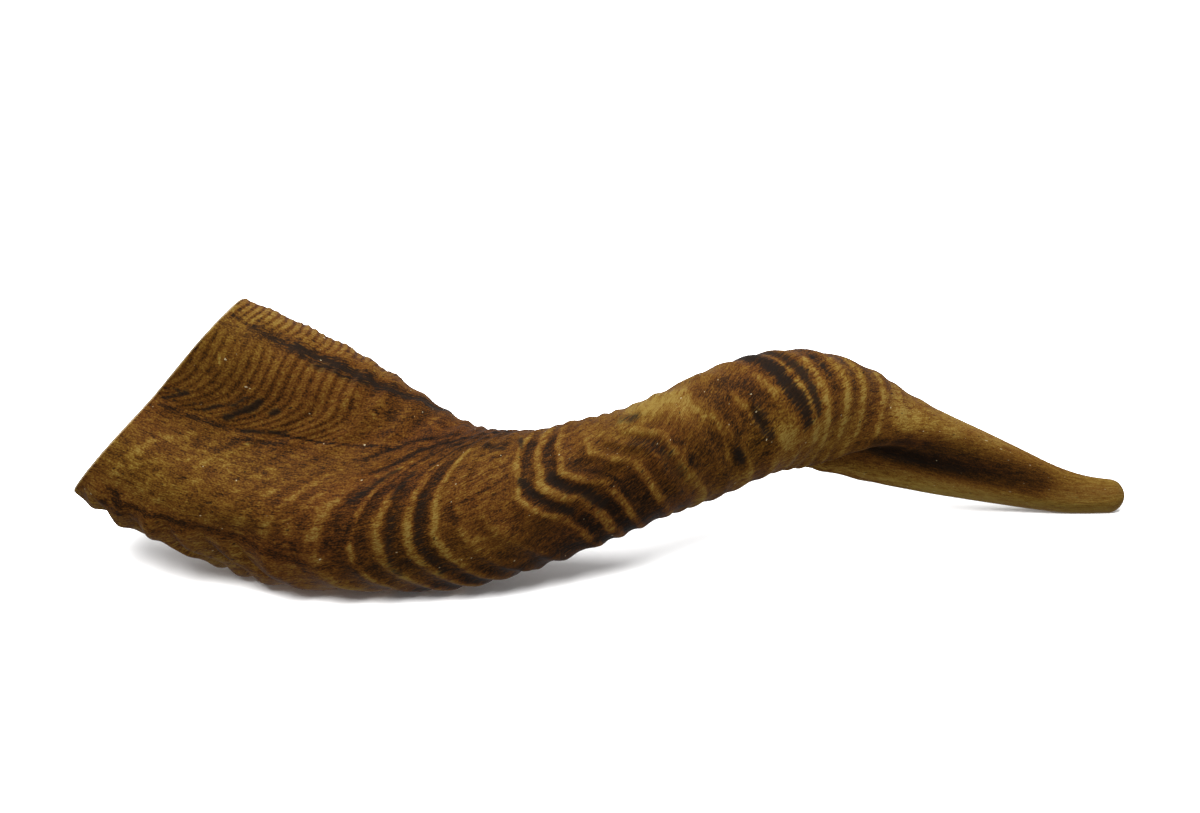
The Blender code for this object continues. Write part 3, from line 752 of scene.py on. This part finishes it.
def paint(along, around, from_cut):
    """The ground (tone and warmth) and the marks (light, dark and black) of the skin at each place."""
    places = straight_places(along, around)
    girth = girth_at(along)
    growth = growth_at(along, around)
    wavy = growth + RING_WAVE * ring_drift(places)
    tone = eight_lines(TONES, along, around)[:, 0]
    tone = tone + 0.06 * wander(places, 0.03, 0.012, 4) + 0.04 * wander(places, 0.006, 0.0030, 2)
    uneven = 0.84 + 0.50 * wander(places, 0.018, 0.010, 6) + 0.30 * wander(places, 0.006, 0.005, 11)
    behind = far_side(along, around) * (1.0 - smooth_step((growth - RINGED_UNTIL) / 0.02))
    _, past = ring_phase(wavy)
    crested = 0.5 + 0.5 * np.cos(2.0 * math.pi * past)
    # Light marks, with the painted glints among them.
    light = laid_over(LIGHT_STROKES, along, around, girth)
    for crest, start, end, width, strength in LIGHT_RINGS:
        close = 1.0 - smooth_step(np.abs(wavy - crest * MM) / (width * RING_SPREAD * MM))
        light = np.maximum(light, strength * uneven * close * window(around, start, end, 0.3))
    light = np.maximum(light, FAR_LIGHT * uneven * behind * crested**5)
    light = np.maximum(light, CUT_EDGE_LIGHT * (1.0 - smooth_step(from_cut / CUT_EDGE_WIDTH)))
    dark = laid_over(DARK_STROKES, along, around, girth)
    dark = np.maximum(dark, FAR_DARK * uneven * behind * (1.0 - crested) ** 2)
    for first, last, start, end, strength in DARK_RINGS:
        band = stretch(wavy, first * MM, last * MM, 0.0014)
        dark = np.maximum(dark, strength * uneven * band * window(around, start, end, 0.35))
    # Black marks, with the crease's painted shadow among them.
    black = laid_over(BLACK_STROKES, along, around, girth)
    warmth = 0.5 + 0.6 * wander(places, 0.025, 0.014, 8) + 0.25 * stretch(along, 0.100, 0.160, 0.02)
    ground = np.stack([np.clip(tone, 0.0, 1.0), np.clip(warmth, 0.0, 1.0), np.zeros(len(tone))], axis=1)
    return ground, np.stack([light, dark, black], axis=1)


def ridge_lines(along, around):
    """For the fine ridges and for the strip's, which ridge a place is at, and how far they show: what the
    material's painted shade and light of the ridges follow.
    """
    places = straight_places(along, around)
    drift = ring_drift(places)
    fine, fine_shown = fine_ridges(along, around, drift)
    strip, strip_shown = strip_ridges(along, around, drift)
    on_strip = strip_shown > fine_shown
    place = np.where(on_strip, strip / STRIP_RIDGE_GAP, fine / FINE_RIDGE_GAP)
    uneven = np.clip(0.92 + 0.7 * wander(places, 0.014, 0.008, 12), 0.0, 1.0)
    return np.stack([place, fine_shown * uneven, strip_shown * uneven], axis=1)


# Materials.


def add_node(tree, kind, **settings):
    node = tree.nodes.new(kind)
    for name, value in settings.items():
        setattr(node, name, value)
    return node


def link(tree, source, target):
    tree.links.new(source, target)


def attribute(tree, name):
    node = add_node(tree, "ShaderNodeAttribute", attribute_name=name)
    return node.outputs["Vector"]


def parts(tree, vector):
    """The three numbers that a vector holds."""
    node = add_node(tree, "ShaderNodeSeparateXYZ")
    link(tree, vector, node.inputs["Vector"])
    return node.outputs["X"], node.outputs["Y"], node.outputs["Z"]


def scaled_noise(tree, places, scale, detail, roughness=0.55):
    """Noise on the straightened skin: the scale is how many grains a metre along and across hold."""
    mapping = add_node(tree, "ShaderNodeMapping", vector_type="POINT")
    mapping.inputs["Scale"].default_value = (scale[0], scale[1], scale[1])
    link(tree, places, mapping.inputs["Vector"])
    grain = add_node(tree, "ShaderNodeTexNoise")
    grain.inputs["Scale"].default_value = 1.0
    grain.inputs["Detail"].default_value = detail
    grain.inputs["Roughness"].default_value = roughness
    link(tree, mapping.outputs["Vector"], grain.inputs["Vector"])
    return grain.outputs["Fac"]


def maths(tree, operation, first, second=None, third=None):
    node = add_node(tree, "ShaderNodeMath", operation=operation)
    for socket, value in zip(node.inputs, (first, second, third)):
        if value is None:
            continue
        if isinstance(value, (int, float)):
            socket.default_value = value
        else:
            link(tree, value, socket)
    return node.outputs["Value"]


def ramp(tree, value, stops):
    node = add_node(tree, "ShaderNodeValToRGB")
    elements = node.color_ramp.elements
    while len(elements) < len(stops):
        elements.new(0.5)
    for element, (position, colour) in zip(elements, stops):
        element.position = position
        element.color = (*colour, 1.0)
    link(tree, value, node.inputs["Fac"])
    return node.outputs["Color"]


def spread(tree, value, low, high, to_low, to_high):
    """Values from low to high spread to a new range, and held there."""
    node = add_node(tree, "ShaderNodeMapRange", clamp=True)
    for name, number in (("From Min", low), ("From Max", high), ("To Min", to_low), ("To Max", to_high)):
        node.inputs[name].default_value = number
    link(tree, value, node.inputs["Value"])
    return node.outputs["Result"]


def mixed(tree, amount, first, second):
    """One colour mixed into another by an amount. The second may be a plain colour."""
    node = add_node(tree, "ShaderNodeMix", data_type="RGBA")
    first_socket, second_socket = [socket for socket in node.inputs if socket.type == "RGBA"]
    link(tree, amount, node.inputs[0])
    link(tree, first, first_socket)
    if isinstance(second, tuple):
        second_socket.default_value = (*second, 1.0)
    else:
        link(tree, second, second_socket)
    return next(socket for socket in node.outputs if socket.type == "RGBA")


def new_material(name):
    material = bpy.data.materials.new(name)
    material.use_nodes = True
    tree = material.node_tree
    return material, tree, tree.nodes["Principled BSDF"]


def add_bump(tree, shader, height, strength, distance):
    bump = add_node(tree, "ShaderNodeBump")
    bump.inputs["Strength"].default_value = strength
    bump.inputs["Distance"].default_value = distance
    link(tree, height, bump.inputs["Height"])
    link(tree, bump.outputs["Normal"], shader.inputs["Normal"])


# The skin's colours by tone, as a golden brown and as a redder one. Warmth mixes the two.
GOLDEN = (
    (0.0, (0.009, 0.005, 0.003)),
    (0.25, (0.032, 0.014, 0.003)),
    (0.5, (0.095, 0.038, 0.005)),
    (0.75, (0.165, 0.089, 0.012)),
    (1.0, (0.245, 0.162, 0.034)),
)
REDDISH = (
    (0.0, (0.009, 0.005, 0.003)),
    (0.25, (0.036, 0.013, 0.004)),
    (0.5, (0.103, 0.033, 0.006)),
    (0.75, (0.167, 0.077, 0.013)),
    (1.0, (0.24, 0.15, 0.036)),
)
BLACK = (0.012, 0.008, 0.0055)
DUST = (0.60, 0.50, 0.30)
PIT = (0.014, 0.008, 0.005)

# Noise on the skin: grains a metre along the horn and across it.
FIBRES = (420.0, 2300.0)
STRANDS = (200.0, 1000.0)
BLOTCHES = (300.0, 420.0)
GRAIN = (2000.0, 2300.0)
PITS = (560.0, 620.0)
SPECKS = (900.0, 950.0)

# The values between which a mark fades in once the fibres and blotches have frayed it.
LIGHT_EDGE = (0.26, 0.95)
DARK_EDGE = (0.36, 0.68)
BLACK_EDGE = (0.35, 0.85)
BLACK_COVER = 0.90

# How much each thing changes the tone, which runs from 0 to 1.
LIGHT_TONE = 0.30
DARK_TONE = -0.34
FRAYED_TONE = 0.24
BLOTCH_TONE = 1.20
GRAIN_TONE = 0.90
# The fine ridges' and the strip ridges' painted shade and light: dark stripes at the ridges' spacing, and a
# lift over the ridged skin.
FINE_RIDGE_SHADING = 0.21
STRIP_RIDGE_SHADING = 0.34
RIDGE_LIGHT_TONE = 0.42


def around_half(tree, value, amount):
    """A noise brought to 0 on the average and made stronger or weaker."""
    return maths(tree, "MULTIPLY", maths(tree, "SUBTRACT", value, 0.5), amount)


def sharpened(tree, mark, edge, cover=1.0):
    return spread(tree, mark, *edge, 0.0, cover)


def skin_material():
    """Horn skin: the painted marks, frayed and broken up by fibres that run along the horn, and the ridges'
    painted shade and light.
    """
    material, tree, shader = new_material("horn_skin")
    places = attribute(tree, "straight")
    fibres = scaled_noise(tree, places, FIBRES, 1.5, 0.5)
    strands = scaled_noise(tree, places, STRANDS, 2.0, 0.5)
    blotches = scaled_noise(tree, places, BLOTCHES, 6.0, 0.74)
    grain = scaled_noise(tree, places, GRAIN, 1.0)
    tone, warmth, _ = parts(tree, attribute(tree, "ground"))
    light, dark, black = parts(tree, attribute(tree, "marks"))
    ridge, fine_shown, strip_shown = parts(tree, attribute(tree, "ridges"))

    frayed = maths(tree, "ADD", around_half(tree, fibres, 2.4), around_half(tree, strands, 1.6))
    frayed = maths(tree, "MULTIPLY", frayed, maths(tree, "MULTIPLY_ADD", fine_shown, -0.6, 1.0))
    patchy = around_half(tree, blotches, 2.0)
    light = maths(tree, "MULTIPLY_ADD", frayed, 0.30, maths(tree, "MULTIPLY_ADD", patchy, 0.5, light))
    light = sharpened(tree, light, LIGHT_EDGE)
    dark = maths(tree, "ADD", dark, maths(tree, "MULTIPLY_ADD", patchy, 0.5, frayed))
    dark = sharpened(tree, dark, DARK_EDGE)
    black = maths(tree, "MULTIPLY_ADD", frayed, 0.55, maths(tree, "MULTIPLY_ADD", patchy, 0.8, black))
    black = sharpened(tree, black, BLACK_EDGE, BLACK_COVER)

    # Painted shade and light of the ridges: dark stripes at their spacing take tone away, and the ridged
    # skin is lifted.
    turn = maths(tree, "MULTIPLY_ADD", ridge, 2.0 * math.pi, around_half(tree, blotches, 3.0))
    ridge_shade = spread(tree, maths(tree, "SINE", turn), -0.2, 0.9, 0.0, 1.0)
    fine_depth = maths(tree, "MULTIPLY", fine_shown, FINE_RIDGE_SHADING)
    shown = maths(tree, "MAXIMUM", fine_depth, maths(tree, "MULTIPLY", strip_shown, STRIP_RIDGE_SHADING))
    calm = maths(tree, "MULTIPLY_ADD", fine_shown, -0.5, 1.0)
    tone = maths(tree, "SUBTRACT", tone, maths(tree, "MULTIPLY", ridge_shade, shown))
    tone = maths(tree, "MULTIPLY_ADD", shown, RIDGE_LIGHT_TONE, tone)
    tone = maths(tree, "MULTIPLY_ADD", light, LIGHT_TONE, tone)
    tone = maths(tree, "MULTIPLY_ADD", dark, DARK_TONE, tone)
    tone = maths(tree, "MULTIPLY_ADD", frayed, FRAYED_TONE, tone)
    tone = maths(tree, "MULTIPLY_ADD", around_half(tree, blotches, BLOTCH_TONE), calm, tone)
    tone = maths(tree, "ADD", tone, around_half(tree, grain, GRAIN_TONE))

    colour = mixed(tree, warmth, ramp(tree, tone, GOLDEN), ramp(tree, tone, REDDISH))
    # Black over the colour: the real black marks and the crease's painted shadow.
    colour = mixed(tree, black, colour, BLACK)
    pitted = spread(tree, scaled_noise(tree, places, PITS, 1.0), 0.745, 0.765, 0.0, 0.8)
    colour = mixed(tree, pitted, colour, PIT)
    dusted = spread(tree, scaled_noise(tree, places, SPECKS, 0.0), 0.855, 0.87, 0.0, 0.65)
    colour = mixed(tree, dusted, colour, DUST)
    link(tree, colour, shader.inputs["Base Color"])
    link(tree, spread(tree, blotches, 0.3, 0.7, 0.42, 0.58), shader.inputs["Roughness"])
    shader.inputs["Specular IOR Level"].default_value = 0.02

    height = maths(tree, "MULTIPLY_ADD", fibres, 0.6, maths(tree, "MULTIPLY", blotches, 0.5))
    height = maths(tree, "MULTIPLY_ADD", grain, 0.25, height)
    height = maths(tree, "MULTIPLY_ADD", pitted, -0.6, height)
    add_bump(tree, shader, height, 0.8, 0.0003)
    return material


def rim_material():
    """The sawn face: pale horn in thin layers, with the saw's fine marks."""
    material, tree, shader = new_material("horn_sawn_rim")
    places = attribute(tree, "straight")
    layer, _, _ = parts(tree, attribute(tree, "ground"))
    grain = scaled_noise(tree, places, (900.0, 900.0), 3.0)
    bands = scaled_noise(tree, places, (150.0, 150.0), 2.0)
    value = maths(tree, "MULTIPLY_ADD", grain, 0.35, maths(tree, "MULTIPLY_ADD", bands, 0.35, layer))
    colour = ramp(tree, value, (
        (0.1, (0.07, 0.038, 0.016)),
        (0.5, (0.23, 0.14, 0.06)),
        (0.85, (0.4, 0.285, 0.145)),
        (1.0, (0.5, 0.39, 0.22)),
    ))
    link(tree, colour, shader.inputs["Base Color"])
    shader.inputs["Roughness"].default_value = 0.62
    add_bump(tree, shader, grain, 0.6, 0.0002)
    return material


def hollow_material():
    """The inside: dry, dusty horn with long ridges where it grew over the bone."""
    material, tree, shader = new_material("horn_hollow")
    places = attribute(tree, "straight")
    ridges = scaled_noise(tree, places, (30.0, 420.0), 4.0, 0.6)
    blotches = scaled_noise(tree, places, (120.0, 160.0), 4.0, 0.6)
    grain = scaled_noise(tree, places, (1500.0, 1500.0), 2.0)
    value = maths(tree, "MULTIPLY_ADD", ridges, 0.55, maths(tree, "MULTIPLY", blotches, 0.45))
    value = maths(tree, "MULTIPLY_ADD", grain, 0.12, value)
    colour = ramp(tree, value, (
        (0.3, (0.05, 0.03, 0.016)),
        (0.5, (0.135, 0.088, 0.048)),
        (0.65, (0.23, 0.165, 0.098)),
        (0.85, (0.36, 0.29, 0.2)),
    ))
    link(tree, colour, shader.inputs["Base Color"])
    shader.inputs["Roughness"].default_value = 0.85
    add_bump(tree, shader, value, 0.8, 0.0006)
    return material


# The horn as one closed mesh.

SKIN_SLOT = 0
RIM_SLOT = 1
HOLLOW_SLOT = 2
RIM_INNER_TONE = 0.35
RIM_OUTER_TONE = 0.10


def rim_points(inner, outer):
    """Rows across the sawn face, from the hollow's edge to the skin's, with both edges eased."""
    rows = []
    span = outer - inner
    width = np.maximum(np.linalg.norm(span, axis=1, keepdims=True), 0.0001)
    eased = RIM_EDGE / width
    for row in range(RIM_ROWS):
        part = eased + (1.0 - 2.0 * eased) * row / (RIM_ROWS - 1)
        rows.append(inner + span * part)
    return rows


def set_vectors(mesh, name, values):
    layer = mesh.attributes.new(name, "FLOAT_VECTOR", "POINT")
    layer.data.foreach_set("vector", np.asarray(values, dtype=np.float32).ravel())



def build_horn():
    """One closed surface: end of the hollow, hollow, sawn rim, skin, end of the tip."""
    around = np.arange(COLUMNS) * len(LINES) / COLUMNS
    places = outer_places(around)
    all_around = np.tile(around, len(places))
    all_along = places.ravel()
    skin_points = skin(all_along, all_around)
    first_row = skin_points[:COLUMNS]
    off_plane = (first_row - CUT_POINT) @ cut_normal()
    skin_points[:COLUMNS] = first_row - off_plane[:, None] * cut_normal()
    inner_rows = hollow_points(around)
    rim_rows = rim_points(inner_rows[-1], skin_points[:COLUMNS])
    eased_in = inner_rows[-1] - cut_normal() * RIM_EDGE
    eased_out = skin_points[:COLUMNS] - cut_normal() * RIM_EDGE
    rows = inner_rows[:-1] + [eased_in] + rim_rows + [eased_out]
    rows += list(skin_points.reshape(len(places), COLUMNS, 3)[1:])
    hollow_count = len(inner_rows)
    ends = natural_spline(PLACES, CENTRES, np.array([HOLLOW_END, LENGTH]))
    points = np.concatenate(rows + [ends]) - ORIGIN
    hollow_end, tip_end = len(points) - 2, len(points) - 1
    faces = []
    kinds = []
    last = (len(rows) - 1) * COLUMNS
    for column in range(COLUMNS):
        beside = (column + 1) % COLUMNS
        faces.append((hollow_end, beside, column))
        kinds.append(HOLLOW_SLOT)
        faces.append((last + column, last + beside, tip_end))
        kinds.append(SKIN_SLOT)
    for row in range(len(rows) - 1):
        start, following = row * COLUMNS, (row + 1) * COLUMNS
        kind = SKIN_SLOT
        if row < hollow_count - 1:
            kind = HOLLOW_SLOT
        elif row < hollow_count + RIM_ROWS:
            kind = RIM_SLOT
        for column in range(COLUMNS):
            beside = (column + 1) % COLUMNS
            faces.append((start + column, start + beside, following + beside, following + column))
            kinds.append(kind)
    mesh = bpy.data.meshes.new("horn_sheath")
    mesh.from_pydata(points.tolist(), [], faces)
    mesh.polygons.foreach_set("material_index", kinds)
    for material in (skin_material(), rim_material(), hollow_material()):
        mesh.materials.append(material)
    mesh.shade_smooth()
    mark_skin(mesh, points + ORIGIN, places, around, hollow_count)
    horn = bpy.data.objects.new("horn_sheath", mesh)
    bpy.context.scene.collection.objects.link(horn)
    return horn


def mark_skin(mesh, points, places, around, hollow_count):
    """Writes the painted markings, with the crease's painted shadow and the painted glints among them, the
    ridges' places for their painted shade and light, and the straightened places on the vertices.
    """
    rim_first = hollow_count * COLUMNS
    skin_first = rim_first + RIM_ROWS * COLUMNS
    skin_along = places.ravel()
    skin_around = np.tile(around, len(places))
    skin_rows = slice(skin_first, skin_first + len(skin_along))
    ground = np.full((len(points), 3), 0.5)
    marks = np.zeros((len(points), 3))
    ridges = np.zeros((len(points), 3))
    straight = points.copy()
    from_cut = np.abs((points[skin_rows] - CUT_POINT) @ cut_normal())
    ground[skin_rows], marks[skin_rows] = paint(skin_along, skin_around, from_cut)
    ground[-1] = ground[-2]
    rim_tones = np.linspace(RIM_INNER_TONE, RIM_OUTER_TONE, RIM_ROWS)
    ground[rim_first:skin_first, 0] = np.repeat(rim_tones, COLUMNS)
    ridges[skin_rows] = ridge_lines(skin_along, skin_around)
    hollow_along = np.linalg.norm(points[:rim_first] - CUT_POINT, axis=1)
    straight[:rim_first] = straight_places(hollow_along, np.tile(around, hollow_count))
    straight[skin_rows] = straight_places(skin_along, skin_around)
    straight[-1] = (LENGTH, 0.0, 0.0)
    set_vectors(mesh, "ground", ground)
    set_vectors(mesh, "marks", marks)
    set_vectors(mesh, "ridges", ridges)
    set_vectors(mesh, "straight", straight)


FLOOR_REACH = 6.0
FLOOR_WHITE = 0.93
AIM = (-0.003604, 0.005446, 0.043146)
CAMERA_DISTANCE = 1.200
CAMERA_ELEVATION = 20.0
CAMERA_LENS = 135.0
CAMERA_SENSOR = 36.0

# The sky's strength at two heights of its direction, from -1 straight down to 1 straight up.
SKY_LOW = -0.5
SKY_HIGH = 0.3
LIGHT_FROM_BELOW = 0.52
LIGHT_FROM_ABOVE = 0.87

# The two lamps: place, size across and power in watts.
OVERHEAD = ((0.05, 0.05, 1.1), 0.9, 12.0)
OVER_FLOOR = ((-0.30, -1.05, 1.05), 0.7, 76.0)


def build_floor():
    """A wide plain white floor. It takes the horn's shadow and throws no light back on the horn."""
    mesh = bpy.data.meshes.new("floor")
    corners = [(x * FLOOR_REACH, y * FLOOR_REACH, 0.0) for x, y in ((-1, -1), (1, -1), (1, 1), (-1, 1))]
    mesh.from_pydata(corners, [], [(0, 1, 2, 3)])
    material, _, shader = new_material("floor_white")
    shader.inputs["Base Color"].default_value = (FLOOR_WHITE, FLOOR_WHITE, FLOOR_WHITE, 1.0)
    shader.inputs["Roughness"].default_value = 0.9
    shader.inputs["Specular IOR Level"].default_value = 0.0
    mesh.materials.append(material)
    floor = bpy.data.objects.new("floor", mesh)
    floor.visible_diffuse = False
    floor.visible_glossy = False
    bpy.context.scene.collection.objects.link(floor)
    return floor


def add_lamp(name, place, size, power):
    """A round lamp that faces the origin."""
    data = bpy.data.lights.new(name, "AREA")
    data.shape = "DISK"
    data.size = size
    data.energy = power
    lamp = bpy.data.objects.new(name, data)
    lamp.location = place
    lamp.rotation_euler = (-Vector(place)).to_track_quat("-Z", "Y").to_euler()
    bpy.context.scene.collection.objects.link(lamp)
    return lamp


def light_scene(floor):
    """A pale sky that is weaker below, a lamp overhead and a lamp that lights only the floor."""
    world = bpy.data.worlds.new("studio")
    world.use_nodes = True
    tree = world.node_tree
    background = tree.nodes["Background"]
    background.inputs["Color"].default_value = (1.0, 1.0, 1.0, 1.0)
    direction = add_node(tree, "ShaderNodeTexCoord").outputs["Generated"]
    _, _, upward = parts(tree, direction)
    strength = spread(tree, upward, SKY_LOW, SKY_HIGH, LIGHT_FROM_BELOW, LIGHT_FROM_ABOVE)
    link(tree, strength, background.inputs["Strength"])
    bpy.context.scene.world = world
    add_lamp("overhead", *OVERHEAD)
    over_floor = add_lamp("over_floor", *OVER_FLOOR)
    receivers = bpy.data.collections.new("floor_only")
    receivers.objects.link(floor)
    over_floor.light_linking.receiver_collection = receivers


def add_camera():
    rise = math.radians(CAMERA_ELEVATION)
    back = Vector((0.0, -math.cos(rise), math.sin(rise))) * CAMERA_DISTANCE
    data = bpy.data.cameras.new("camera")
    data.lens = CAMERA_LENS
    data.sensor_width = CAMERA_SENSOR
    camera = bpy.data.objects.new("camera", data)
    camera.location = Vector(AIM) + back
    camera.rotation_euler = (-back).to_track_quat("-Z", "Y").to_euler()
    bpy.context.scene.collection.objects.link(camera)
    bpy.context.scene.camera = camera
    bpy.context.scene.view_settings.view_transform = "Standard"


horn = build_horn()
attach(horn, "root")
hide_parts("horn")
light_scene(build_floor())
add_camera()

bpy.context.view_layer.update()
